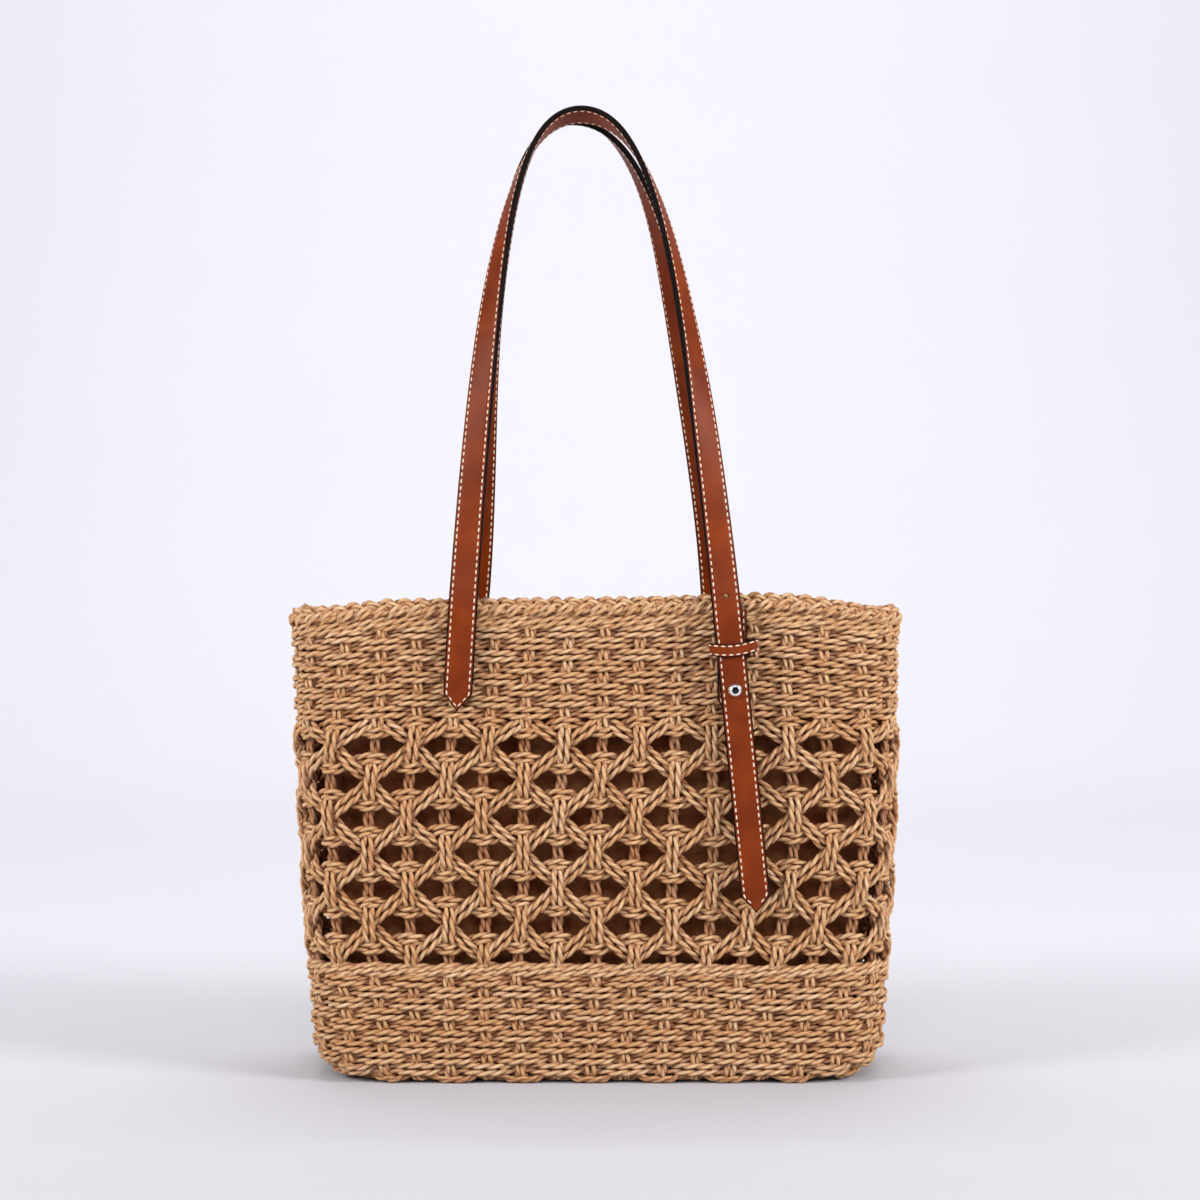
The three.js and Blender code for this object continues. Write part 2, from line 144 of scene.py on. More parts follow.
def plan(column, half_x, half_y, radius, face_share=FACE_SHARE):
    """Place and outward direction on a rounded rectangle."""
    near, left, back = fold_column(column)
    face_end = FACE_COLUMNS * face_share
    rest = COLUMNS / 4 - FACE_COLUMNS
    share = np.where(
        near < FACE_COLUMNS,
        near * face_share,
        0.25 - (COLUMNS / 4 - near) * (0.25 - face_end) / rest,
    )
    flat_x, flat_y = half_x - radius, half_y - radius
    arc = radius * math.pi / 2
    way = share * 4 * (flat_x + flat_y + arc)
    angle = np.clip((way - flat_x) / radius, 0, math.pi / 2)
    x = np.minimum(way, flat_x) + radius * np.sin(angle)
    y = -flat_y - radius * np.cos(angle) + np.maximum(way - flat_x - arc, 0)
    sx, sy = np.where(left, -1, 1), np.where(back, -1, 1)
    return x * sx, y * sy, np.sin(angle) * sx, -np.cos(angle) * sy


def wall_halves(up):
    """Half the basket's outer width and depth, at a share of its height."""
    half_x = BASE_HALF_X + (RIM_HALF_X - BASE_HALF_X) * up
    half_y = BASE_HALF_Y + (RIM_HALF_Y - BASE_HALF_Y) * up
    return half_x, half_y


def rim_sag(x, y, z):
    """The rim dips at its corners and rides up a little where a strap is buckled."""
    back = smoothstep(-30, 30, y)
    along = x * (1 - 2 * back)
    dip = -CORNER_DIP * smoothstep(105, 167, np.abs(x)) - LEFT_DIP * smoothstep(20, -110, along)
    dip -= BACK_DIP * back * smoothstep(167, 120, np.abs(x))
    lift = FRONT_LIFT + (BACK_LIFT - FRONT_LIFT) * back
    lift = lift * np.exp(-(((along - BUCKLE_X) / BUCKLE_SPREAD) ** 2))
    return (np.clip(z, 0, None) / TOP) ** 4 * (dip + lift)


def sway(x, z):
    """The ends lean a little to the left as they rise."""
    return -SWAY * (np.clip(z, 0, None) / TOP) ** 2 * (x / 165) ** 2


class Drift:
    """Slow unevenness of the hand weave, in columns and in millimetres down."""

    def __init__(self):
        self.terms = [
            (turns, rng.uniform(-0.07, 0.07), rng.uniform(0, 2 * math.pi), rng.uniform(0.6, 1.0))
            for turns in range(1, 11)
        ]

    def __call__(self, column, down):
        size = 0.36 * smoothstep(14, 40, down) * smoothstep(262, 235, down)
        total = 0
        for turns, pitch, phase, share in self.terms:
            angle = 2 * math.pi * turns * column / COLUMNS + pitch * down + phase
            total = total + share * np.sin(angle)
        return total * size


SIDEWAYS, UPWARD = Drift(), Drift()


def shell(column, down, out):
    """Places on the shell and the directions out of it."""
    column, down, out = np.broadcast_arrays(
        np.asarray(column, float), np.asarray(down, float), np.asarray(out, float)
    )
    shifted = column + DRIFT_COLUMNS * SIDEWAYS(column, down)
    down = down + DRIFT_DOWN * UPWARD(column, down)
    column = shifted + COLUMN_LEAN * (TOP / 2 - np.minimum(down, TOP))
    near = fold_column(column)[0]
    fillet = FACE_FILLET + (END_FILLET - FACE_FILLET) * smoothstep(FACE_UNTIL, END_FROM, near)
    straight = TOP - FLOOR - fillet
    turn = np.clip((down - straight) / fillet, 0, math.pi / 2)
    under = np.maximum(down - straight - fillet * math.pi / 2, 0)
    z = TOP - np.minimum(down, straight) - fillet * np.sin(turn)
    inset = MID + fillet * (1 - np.cos(turn)) + under
    up = np.clip(z / TOP, 0, 1)
    half_x, half_y = wall_halves(up)
    half_x = half_x + BULGE * np.sin(math.pi * up) - inset
    half_y = half_y - inset
    radius = np.maximum(np.minimum(CORNER - inset, half_y - 0.3), 2.5)
    face_share = FACE_SHARE + OPEN_SHARE * np.exp(-(((z - OPEN_MIDDLE) / OPEN_SPREAD) ** 2))
    x, y, nx, ny = plan(column, half_x, np.maximum(half_y, radius + 0.2), radius, face_share)
    normal = np.stack([nx * np.cos(turn), ny * np.cos(turn), -np.sin(turn)], -1)
    place = np.stack([x + sway(x, z), y, z + rim_sag(x, y, z)], -1)
    return place + normal * out[..., None], normal


# ---- Meshes ----
def make_mesh(name, verts, faces, materials, face_materials=None, attributes=None):
    """A mesh object from millimetre vertices and a list of face index arrays."""
    me = bpy.data.meshes.new(name)
    verts = np.asarray(verts, np.float32) * MM
    me.vertices.add(len(verts))
    me.vertices.foreach_set("co", verts.ravel())
    faces = [np.asarray(f, np.int32) for f in faces if len(f)]
    loops = np.concatenate([f.ravel() for f in faces])
    sizes = np.concatenate([np.full(len(f), f.shape[1], np.int32) for f in faces])
    me.loops.add(len(loops))
    me.loops.foreach_set("vertex_index", loops)
    me.polygons.add(len(sizes))
    starts = np.concatenate([[0], np.cumsum(sizes)[:-1]]).astype(np.int32)
    me.polygons.foreach_set("loop_start", starts)
    if face_materials is not None:
        me.polygons.foreach_set("material_index", np.asarray(face_materials, np.int32))
    me.polygons.foreach_set("use_smooth", np.ones(len(sizes), bool))
    for key, (kind, values) in (attributes or {}).items():
        values = np.asarray(values, np.float32)
        layer = me.attributes.new(key, kind, "POINT")
        layer.data.foreach_set("vector" if kind == "FLOAT_VECTOR" else "value", values.ravel())
    me.update()
    me.validate()
    for material in materials:
        me.materials.append(material)
    ob = bpy.data.objects.new(name, me)
    bpy.context.scene.collection.objects.link(ob)
    return ob


def apply_modifiers(ob):
    bpy.context.view_layer.update()
    depsgraph = bpy.context.evaluated_depsgraph_get()
    done = bpy.data.meshes.new_from_object(ob.evaluated_get(depsgraph))
    ob.modifiers.clear()
    ob.data = done


def tube_quads(rings, sides, closed=False):
    """The faces between rings of vertices, each ring joined to the next."""
    i = np.arange(rings if closed else rings - 1)[:, None]
    k = np.arange(sides)[None, :]
    low, high = i * sides, ((i + 1) % rings) * sides
    nxt = (k + 1) % sides
    return np.stack([low + k, high + k, high + nxt, low + nxt], -1).reshape(-1, 4)


def end_caps(rings, sides):
    ring = np.arange(sides)
    return np.array([ring, ring[::-1] + (rings - 1) * sides])


def circle(count):
    """Angles, evenly spaced."""
    return 2 * math.pi * np.arange(count) / count


def distances(points):
    """How far along a line each of its points is."""
    steps = np.linalg.norm(np.diff(points, axis=0), axis=1)
    return np.concatenate([[0], np.cumsum(steps)])


def along_of(points, closed):
    if closed:
        return unit(np.roll(points, -1, 0) - np.roll(points, 1, 0))
    return unit(np.gradient(points, axis=0))


def respace(points, extras, step, closed):
    """Points and what goes with them, evenly spaced, with their distances and the total."""
    rows = [points, *extras]
    if closed:
        rows = [np.vstack([r, r[:1]]) for r in rows]
    way = distances(rows[0])
    count = max(3, int(round(way[-1] / step)))
    at = np.linspace(0, way[-1], count + 1)
    if closed:
        at = at[:-1]
    even = [np.stack([np.interp(at, way, r[:, k]) for k in range(r.shape[1])], 1) for r in rows]
    return even, at, way[-1]


def wander(at, total, size):
    """A slow smooth wobble that closes on itself."""
    out = np.zeros_like(at)
    for wave, share in ((70, 0.5), (37, 0.35), (19, 0.2)):
        turns = max(1, round(total / wave))
        out += share * np.sin(2 * math.pi * turns * at / total + rng.uniform(0, 2 * math.pi))
    return out * size


class Ropes:
    """Ropes that together make one piece."""

    def __init__(self):
        self.verts, self.quads, self.caps = [], [], []
        self.tone, self.groove, self.fibre = [], [], []
        self.count = 0

    def add(self, points, normals, levels, closed, loose=0.3):
        rows, at, total = respace(points, [normals, levels[:, None]], RING_STEP, closed)
        points, normals, levels = rows
        along = along_of(points, closed)
        side = unit(np.cross(along, normals))
        points = points + side * wander(at, total, loose)[:, None]
        points = points + normals * wander(at, total, loose * 0.5)[:, None]
        points[:, 2] = np.maximum(points[:, 2], RESTING)
        along = along_of(points, closed)
        side = unit(np.cross(along, normals))
        up = np.cross(side, along)
        turns = round(total / LAY) if closed else total / LAY
        twist = 2 * math.pi * turns * at / total + rng.uniform(0, 2 * math.pi)
        middle, ply = LOBE
        radius = middle * np.abs(np.cos(PLY_ANGLES)) + np.sqrt(
            ply**2 - (middle * np.sin(PLY_ANGLES)) ** 2
        )
        swell = 1 + 0.06 * wander(at, total, 1.0)
        angle = twist[:, None] + PLY_ANGLES[None, :]
        spoke = radius[None, :] * swell[:, None]
        verts = points[:, None] + (spoke * np.cos(angle))[..., None] * side[:, None]
        verts = verts + (spoke * np.sin(angle))[..., None] * up[:, None]
        rings, sides = spoke.shape
        self.quads.append(tube_quads(rings, sides, closed) + self.count)
        if not closed:
            self.caps.extend(end_caps(rings, sides) + self.count)
        self.verts.append(verts.reshape(-1, 3))
        self.tone.append(np.full(rings * sides, rng.uniform(0, 1)))
        # painted shade: a rope is painted dark in its grooves, along its flanks and underside, and
        # where it dips under another, where shade falls
        flank_shade = smoothstep(0.86, 0.0, np.abs(np.sin(angle)))
        sunk_shade = smoothstep(0.4, -2.6, levels)
        self.groove.append(1 - (1 - 0.7 * WAIST_SHADE) * (1 - 0.95 * flank_shade) * (1 - 0.6 * sunk_shade))
        lengths = np.repeat(at + rng.uniform(0, 900), sides)
        spokes = [np.tile(radius * f(PLY_ANGLES), rings) for f in (np.cos, np.sin)]
        self.fibre.append(np.stack([lengths, *spokes], -1))
        self.count += rings * sides

    def pair(self, column, down, out, closed, gap=PAIR, loose=0.3):
        """Two ropes side by side along one line on the shell."""
        centre, normal = shell(column, down, out)
        gap = np.broadcast_to(np.asarray(gap, float), len(centre))
        out = np.broadcast_to(np.asarray(out, float), len(centre))
        if closed:
            centre, normal, gap, out = centre[:-1], normal[:-1], gap[:-1], out[:-1]
        side = unit(np.cross(along_of(centre, closed), normal))
        for way in (-0.5, 0.5):
            self.add(centre + side * way * gap[:, None], normal, out, closed, loose)

    def piece(self, name, *nodes):
        faces = [np.concatenate(self.quads)]
        if self.caps:
            faces.append(np.array(self.caps))
        # the ropes' painted shade goes along as a vertex attribute
        attributes = {
            "tone": ("FLOAT", np.concatenate(self.tone)),
            "groove": ("FLOAT", np.concatenate(self.groove).ravel()),
            "fibre": ("FLOAT_VECTOR", np.concatenate(self.fibre)),
        }
        ob = make_mesh(name, np.concatenate(self.verts), faces, [STRAW], None, attributes)
        if nodes:
            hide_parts(*nodes)
        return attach(ob, "bag")


# ---- Materials ----
def srgb(r, g, b):
    def linear(c):
        c /= 255
        return c / 12.92 if c <= 0.04045 else ((c + 0.055) / 1.055) ** 2.4

    return (linear(r), linear(g), linear(b), 1.0)


class Paint:
    """A node material, with short calls for the nodes it needs."""

    def __init__(self, name, roughness, **sockets):
        self.material = bpy.data.materials.new(name)
        self.material.use_nodes = True
        self.tree = self.material.node_tree
        self.tree.nodes.clear()
        self.shader = self.node("ShaderNodeBsdfPrincipled")
        out = self.node("ShaderNodeOutputMaterial")
        self.link(self.shader.outputs[0], out.inputs[0])
        self.shader.inputs["Roughness"].default_value = roughness
        for key, value in sockets.items():
            self.shader.inputs[key.replace("_", " ")].default_value = value

    def node(self, kind, **settings):
        node = self.tree.nodes.new(kind)
        for key, value in settings.items():
            setattr(node, key, value)
        return node

    def link(self, out, into):
        self.tree.links.new(out, into)

    def feed(self, socket, value):
        if isinstance(value, bpy.types.NodeSocket):
            self.link(value, socket)
        else:
            socket.default_value = value

    def place(self, scale, attribute=None):
        if attribute:
            source = self.node("ShaderNodeAttribute", attribute_name=attribute).outputs["Vector"]
        else:
            source = self.node("ShaderNodeTexCoord").outputs["Object"]
        mapping = self.node("ShaderNodeMapping")
        self.link(source, mapping.inputs["Vector"])
        mapping.inputs["Scale"].default_value = scale
        return mapping.outputs[0]

    def value(self, attribute):
        return self.node("ShaderNodeAttribute", attribute_name=attribute).outputs["Fac"]

    def texture(self, node, at, output, **sockets):
        self.link(at, node.inputs["Vector"])
        for key, value in sockets.items():
            node.inputs[key].default_value = value
        return node.outputs[output]

    def noise(self, at, scale, detail):
        node = self.node("ShaderNodeTexNoise")
        return self.texture(node, at, "Fac", Scale=scale, Detail=detail, Roughness=0.55)

    def pores(self, at, scale):
        return self.texture(self.node("ShaderNodeTexVoronoi"), at, "Distance", Scale=scale)

    def wave(self, at, scale, direction, distortion):
        node = self.node("ShaderNodeTexWave", bands_direction=direction)
        return self.texture(node, at, "Fac", Scale=scale, Distortion=distortion, Detail=1.0)

    def maths(self, operation, a, b, clamp=False):
        node = self.node("ShaderNodeMath", operation=operation, use_clamp=clamp)
        self.feed(node.inputs[0], a)
        self.feed(node.inputs[1], b)
        return node.outputs[0]

    def ramp(self, fac, *stops):
        node = self.node("ShaderNodeValToRGB")
        self.link(fac, node.inputs["Fac"])
        elements = node.color_ramp.elements
        while len(elements) < len(stops):
            elements.new(0.5)
        for element, (position, color) in zip(elements, stops):
            element.position = position
            element.color = color
        return node.outputs["Color"]

    def mix(self, fac, a, b, blend="MIX"):
        node = self.node("ShaderNodeMix", data_type="RGBA", blend_type=blend)
        self.feed(node.inputs[0], fac)
        self.feed(node.inputs[6], a)
        self.feed(node.inputs[7], b)
        return node.outputs[2]

    def base(self, color):
        self.feed(self.shader.inputs["Base Color"], color)

    def rough(self, fac, low, high):
        node = self.node("ShaderNodeMapRange")
        self.link(fac, node.inputs["Value"])
        node.inputs["To Min"].default_value = low
        node.inputs["To Max"].default_value = high
        self.link(node.outputs[0], self.shader.inputs["Roughness"])

    def bump(self, height, strength, distance):
        node = self.node("ShaderNodeBump")
        self.link(height, node.inputs["Height"])
        node.inputs["Strength"].default_value = strength
        node.inputs["Distance"].default_value = distance
        self.link(node.outputs[0], self.shader.inputs["Normal"])


def straw_paint():
    p = Paint("straw", 0.7, Specular_IOR_Level=0.16)
    streaks = p.noise(p.place((0.35, 3.2, 3.2), "fibre"), 1.0, 3.0)
    patches = p.noise(p.place((0.035, 0.3, 0.3), "fibre"), 1.0, 3.0)
    tone = p.maths("MULTIPLY", p.value("tone"), 0.35)
    fac = p.maths("ADD", p.maths("MULTIPLY", patches, 0.65), tone, True)
    color = p.ramp(
        fac,
        (0.18, srgb(206, 160, 112)),
        (0.45, srgb(222, 181, 134)),
        (0.62, srgb(230, 194, 150)),
        (0.85, srgb(238, 209, 172)),
    )
    streak = p.ramp(streaks, (0.32, srgb(172, 150, 128)), (0.58, srgb(255, 255, 255)))
    color = p.mix(0.85, color, streak, "MULTIPLY")
    # painted shade: the straw's colour is mixed toward dark browns where the rope is painted shaded,
    # in its grooves, along its flanks and where it dips under another rope
    deep = p.maths("POWER", p.value("groove"), 1.15)
    shade = p.ramp(
        p.value("groove"),
        (0.25, srgb(158, 79, 27)),
        (0.7, srgb(124, 45, 8)),
        (0.98, srgb(52, 15, 4)),
    )
    color = p.mix(p.maths("MULTIPLY", deep, 0.94), color, shade)
    p.base(color)
    p.rough(streaks, 0.55, 0.85)
    p.bump(streaks, 0.5, 0.0005)
    return p.material


def leather_paint(name, dark, mid, light):
    p = Paint(name, 0.5, Specular_IOR_Level=0.09, Coat_Weight=0.09, Coat_Roughness=0.36)
    at = p.place((1, 1, 1))
    patches = p.noise(at, 55, 4.0)
    fine = p.noise(at, 900, 3.0)
    pores = p.pores(at, 1500)
    color = p.ramp(patches, (0.3, dark), (0.5, mid), (0.72, light))
    color = p.mix(p.maths("MULTIPLY", fine, 0.16), color, srgb(70, 26, 10))
    p.base(color)
    p.rough(patches, 0.42, 0.58)
    p.bump(p.maths("ADD", pores, fine), 0.16, 0.0002)
    return p.material


def edge_paint():
    p = Paint("edge_paint", 0.6, Specular_IOR_Level=0.06)
    fine = p.noise(p.place((1, 1, 1)), 420, 3.0)
    p.base(p.ramp(fine, (0.3, srgb(10, 6, 6)), (0.75, srgb(24, 14, 13))))
    p.bump(fine, 0.2, 0.0002)
    return p.material


def thread_paint():
    p = Paint("thread", 0.6)
    at = p.place((1, 1, 1))
    twist = p.wave(at, 900, "DIAGONAL", 0.4)
    patches = p.noise(at, 300, 2.0)
    color = p.ramp(patches, (0.3, srgb(214, 184, 156)), (0.7, srgb(240, 220, 198)))
    p.base(p.mix(p.maths("MULTIPLY", twist, 0.18), color, srgb(176, 140, 104)))
    p.bump(twist, 0.35, 0.0002)
    return p.material


def cloth_paint():
    p = Paint("lining_cloth", 0.9, Specular_IOR_Level=0.1)
    at = p.place((1, 1, 1), "cloth")
    warp = p.wave(at, 0.62, "X", 0.8)
    weft = p.wave(at, 0.62, "Y", 0.8)
    # the cloth's own brown, laid in soft patches between red-brown and khaki; the patches are
    # painted light and shade, like light let in through the weave's openings and the shade between
    # them
    patches = p.noise(at, 0.06, 4.0)
    slubs = p.noise(p.place((0.2, 2.4, 1), "cloth"), 1.0, 2.0)
    color = p.ramp(patches, (0.36, srgb(104, 46, 20)), (0.64, srgb(152, 100, 62)))
    color = p.mix(p.maths("MULTIPLY", slubs, 0.3), color, srgb(70, 26, 10))
    weave = p.maths("MULTIPLY", warp, weft)
    p.base(p.mix(p.maths("MULTIPLY", weave, 0.3), color, srgb(156, 100, 64)))
    p.rough(slubs, 0.82, 0.98)
    p.bump(weave, 0.4, 0.0004)
    return p.material


def metal_paint(name, dark, light):
    p = Paint(name, 0.14, Metallic=1.0)
    at = p.place((1, 1, 1))
    brushed = p.noise(at, 700, 4.0)
    p.base(p.ramp(brushed, (0.3, dark), (0.7, light)))
    p.rough(p.noise(at, 240, 3.0), 0.08, 0.24)
    p.bump(brushed, 0.05, 0.0001)
    return p.material


STRAW = straw_paint()
LEATHER = leather_paint("leather", srgb(101, 34, 1), srgb(115, 42, 2), srgb(129, 51, 4))
EDGE = edge_paint()
THREAD = thread_paint()
CLOTH = cloth_paint()
NICKEL = metal_paint("nickel", srgb(232, 232, 235), srgb(250, 250, 252))
# painted reflection: a dark metal for the stud's socket, standing in for a dark reflection in the
# middle of the dome
SOCKET_PAINTED_REFLECTION = metal_paint("socket_painted_reflection", srgb(30, 28, 28), srgb(52, 48, 46))


# ---- The weave ----
ROUND = np.linspace(0, COLUMNS, COLUMNS * 24 + 1)


def weft_out(row):
    """Over one warp pair and under the next, with flattened floats."""
    phase = math.pi * (ROUND + row + 1)
    return 2.15 * np.cos(phase) - 0.3 * np.cos(3 * phase) - 0.2


def wefts(name, rows, first_row, nodes=(), twined=()):
    """Woven rows, and twined rows of two pairs that turn about each other."""
    ropes = Ropes()
    for i, down in enumerate(rows):
        swell = 0.5 * np.cos(math.pi * (ROUND + first_row + i + 1))
        ropes.pair(ROUND, down, weft_out(first_row + i), True, gap=PAIR + swell)
    for z in twined:
        for start in (0, math.pi):
            turn = math.pi * ROUND + start
            out = 0.3 + 1.6 * np.sin(turn)
            ropes.pair(ROUND, TOP - z + 1.3 * np.cos(turn), out, True, gap=2.8, loose=0.2)
    return ropes.piece(name, *nodes)


def warp_levels(column):
    """How far out a warp pair lies at each height, as it goes down the wall."""
    keys = [(z, TUCKED_IN) for z in TWINED_ROWS]
    for rows in (UPPER_ROWS, LOWER_TOP_ROW - LOWER_PITCH * np.arange(LOWER_ROWS)):
        for i, z in enumerate(rows):
            keys.append((z, -0.7 + 1.2 * math.cos(math.pi * (column + i))))
    last = len(LATTICE_ROWS) - 1
    for row, z in enumerate(LATTICE_ROWS):
        if (column + row) % 2 == 1:
            if row > 0:
                keys.append((z, -2.2))
        elif row == 0:
            keys += [(z + 1, 1.4), (z - 3, 1.4), (z - 7.5, -1.8)]
        elif row == last:
            keys += [(z + POST_HALF, TUCKED_IN), (z + POST_KNEE, 2.5), (z + 1, 2.4)]
        else:
            keys.append((z, 3.4))
            for way in (-1, 1):
                keys += [(z + way * POST_HALF, TUCKED_IN), (z + way * POST_KNEE, 2.8)]
    keys.sort()
    heights, levels = np.array(keys).T
    return heights, levels


def blurred(values, width):
    """Gaussian blur of evenly spaced values; width is in samples."""
    reach = int(math.ceil(width * 3))
    kernel = np.exp(-0.5 * (np.arange(-reach, reach + 1) / width) ** 2)
    kernel /= kernel.sum()
    padded = np.pad(values, ((reach, reach), (0, 0)) if values.ndim == 2 else reach, mode="edge")
    if values.ndim == 1:
        return np.convolve(padded, kernel, "valid")
    return np.stack([np.convolve(padded[:, k], kernel, "valid") for k in range(values.shape[1])], 1)


def warps(name, columns):
    """Rope pairs that run down the wall and a little way under it."""
    ropes = Ropes()
    down = np.arange(11, 296, 0.5)
    for column in columns:
        heights, levels = warp_levels(column)
        out = blurred(np.interp(TOP - down, heights, levels), 3.0)
        column_line = column + 0.035 * np.sin(down / 33 + rng.uniform(0, 6))
        gap = 3.0 + 0.7 * smoothstep(-0.5, 2.2, out)
        ropes.pair(column_line[::-1], down[::-1], out[::-1], False, gap=gap[::-1], loose=0.2)
    return ropes.piece(name)


def diagonals(name, lean, node_level):
    """Rope pairs that step one column for each lattice row."""
    ropes = Ropes()
    last = len(LATTICE_ROWS) - 1
    row = np.arange(-0.6, last + 0.7, 0.02)
    rows = np.arange(-1, last + 2)
    heights = np.concatenate([[LATTICE_ROWS[0] + 14], LATTICE_ROWS, [LATTICE_ROWS[-1] - 16]])
    z = np.interp(row, rows, heights)
    middle = (1 - np.cos(2 * math.pi * row)) / 2
    level = node_level + (2.5 - node_level) * middle**0.8
    tucked = np.maximum(smoothstep(0.2, -0.25, row), smoothstep(last - 0.1, last + 0.3, row))
    level = level * (1 - tucked) - 3.6 * tucked
    crossed = np.clip(row, 0, last)
    gap = 2.9 + 1.0 * middle * (1 - tucked)
    for start in range(0, COLUMNS, 2):
        column = start + lean * crossed
        ropes.pair(column[::-1], (TOP - z)[::-1], level[::-1], False, gap=gap[::-1], loose=0.2)
    return ropes.piece(name)


def lattice_rings(name, rows, *nodes):
    """Rope pairs that wave between the lattice rows, over the warps and under the diagonals."""
    ropes = Ropes()
    for row in rows:
        middle = (LATTICE_ROWS[row] + LATTICE_ROWS[row + 1]) / 2
        if row == 0:
            middle = FIRST_RING
        z = middle - LATTICE_WAVE * np.cos(math.pi * (ROUND + row))
        out = -0.4 + 1.7 * np.cos(2 * math.pi * ROUND)
        ropes.pair(ROUND, TOP - z, out, True, gap=3.3, loose=0.2)
    return ropes.piece(name, *nodes)


def rim_braid(name, *nodes):
    """A flat braid of three rope pairs along the rim."""
    ropes = Ropes()
    cos, sin = math.cos(BRAID_TILT), math.sin(BRAID_TILT)
    fine = np.linspace(0, COLUMNS, len(ROUND) * 2 - 1)
    for strand in range(3):
        turn = 2 * math.pi * (BRAID_REPEATS * fine / COLUMNS + strand / 3)
        across, depth = 3.0 * np.sin(turn), -2.1 * np.sin(2 * turn)
        rise = across * cos + depth * sin
        out = depth * cos - across * sin
        ropes.pair(fine, BRAID_DOWN - rise, 0.3 + out, True, gap=2.4, loose=0.15)
    return ropes.piece(name, *nodes)


upper_downs = TOP - UPPER_ROWS
wefts("weave_upper_a", upper_downs[:4], 0, ["woven_upper_band"], twined=TWINED_ROWS[:1])
wefts("weave_upper_b", upper_downs[4:], 4)
lower_downs = TOP - LOWER_TOP_ROW + LOWER_PITCH * np.arange(LOWER_ROWS)
wefts("weave_lower_a", lower_downs[:4], 0, ["woven_lower_band"], twined=TWINED_ROWS[1:])
wefts("weave_lower_b", lower_downs[4:10], 4)
wefts("weave_base", lower_downs[10:], 10, ["woven_base"])
lattice_rings("weave_rings_a", range(4), "woven_lattice_band")
lattice_rings("weave_rings_b", range(4, 7))
diagonals("weave_diagonals_rising", -1, -0.7)
diagonals("weave_diagonals_falling", 1, -3.4)
for part, first in (("a", -7), ("b", 7), ("c", 21)):
    warps(f"weave_warps_{part}", range(first, first + 14))
rim_braid("rim_braid", "rim_plait")


# ---- The lining and its stitched hem ----
HEM_LOW, HEM_TOP = cad_box("lining_hem")[0][2], cad_box("lining_hem")[1][2]


def lining_rows(floor):
    """Heights, half sizes and corner radii of the pouch, from its hem to its floor."""
    bend_top = floor + LINING_BEND
    heights = [np.linspace(HEM_TOP, HEM_LOW, 5), np.linspace(HEM_LOW, bend_top, 46)[1:]]
    rows = []
    for z in np.concatenate(heights):
        loose = smoothstep(HEM_LOW, HEM_LOW - 16, z)
        half_x, half_y = wall_halves(z / TOP)
        inset = LINING_IN + LINING_GAP * loose
        tight = CORNER - LINING_IN
        rows.append((z, half_x - inset, half_y - inset, tight + (LINING_CORNER - tight) * loose))
    turns = np.radians([20, 40, 60, 80, 90])
    under = [(LINING_BEND * (1 - math.cos(t)), LINING_BEND * (1 - math.sin(t))) for t in turns]
    under += [(inset, 0) for inset in (17, 24, 31, 38, 44)]
    last_x, last_y, last_r = rows[-1][1:]
    for inset, up in under:
        rows.append((floor + up, last_x - inset, last_y - inset, max(last_r - inset, 3)))
    return rows


def lining():
    """A loose cloth pouch; its floor closes with quads between its two long sides."""
    around = np.linspace(0, COLUMNS, 241)[:-1]
    floor = cad_box("lining_pouch")[0][2] + 1.2
    rows = lining_rows(floor)
    verts, cloth = [], []
    travelled = 0
    for i, (z, half_x, half_y, radius) in enumerate(rows):
        x, y, nx, ny = plan(around, half_x, half_y, min(radius, half_y - 0.5))
        slack = smoothstep(HEM_LOW, HEM_LOW - 30, z) * smoothstep(floor, floor + 20, z)
        folds = 0.9 * np.sin(around * 1.7 + 0.8 * math.sin(z / 31))
        folds = folds + 0.7 * np.sin(around * 3.1 + z / 23)
        folds = (folds - 1.6) * 1.3 * slack
        place = [x + sway(x, z) + nx * folds, y + ny * folds, np.full_like(x, z)]
        verts.append(np.stack(place, -1))
        if i:
            travelled += np.linalg.norm(verts[-1][0] - verts[-2][0])
        flat = [around * COLUMN_WAY, np.full_like(x, travelled), np.zeros_like(x)]
        cloth.append(np.stack(flat, -1))
    sides = len(around)
    quads = tube_quads(len(rows), sides)
    base = (len(rows) - 1) * sides
    half = sides // 2
    a = np.arange(-half // 2, half // 2)
    across = base + np.stack([a, a + 1, half - a - 1, half - a], -1) % sides
    ob = make_mesh(
        "lining_cloth",
        np.concatenate(verts),
        [quads, across[:, ::-1]],
        [CLOTH],
        attributes={"cloth": ("FLOAT_VECTOR", np.concatenate(cloth))},
    )
    solidify = ob.modifiers.new("thickness", "SOLIDIFY")
    solidify.thickness = 0.7 * MM
    solidify.offset = -1
    apply_modifiers(ob)
    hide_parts("lining_pouch", "lining_hem")
    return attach(ob, "bag")


lining_ob = lining()

# ---- Straps ----
STRAP_HALF = 8.0
THICK = 3.1
POINT = 9.5
HINGE_Z = 266.0
ARCH = 279.0
CROWN_REACH = RIM_HALF_Y - 8.4
FIXED_X, ADJUSTED_X = -72.0, 72.0
MIDDLE, CROWN_X = -2.0, -9.7
LEG_PULL, CROWN_PULL = 200.0, 40.0
FIXED_LEAN, ADJUSTED_LEAN = math.radians(3.5), math.radians(5.7)
FIXED_LENGTH, FIXED_TILT, FIXED_OUT = 60.3, math.radians(2.5), 3.2
STRAP_OUT = 5.6
STUD_DOWN = 48.5
TAIL_DOWN = 54.5
TAIL_LENGTH = 117.0
KEEPER_DOWN = 26.0
KEEPER_HALF, KEEPER_INSET = 3.5, 1.15
HOLE_UP, HOLE_RADIUS = 3.0, 1.35
ANCHOR_X, ANCHOR_TOP, ANCHOR_LENGTH, ANCHOR_OUT = 3.5, 262.0, 60.0, 2.1
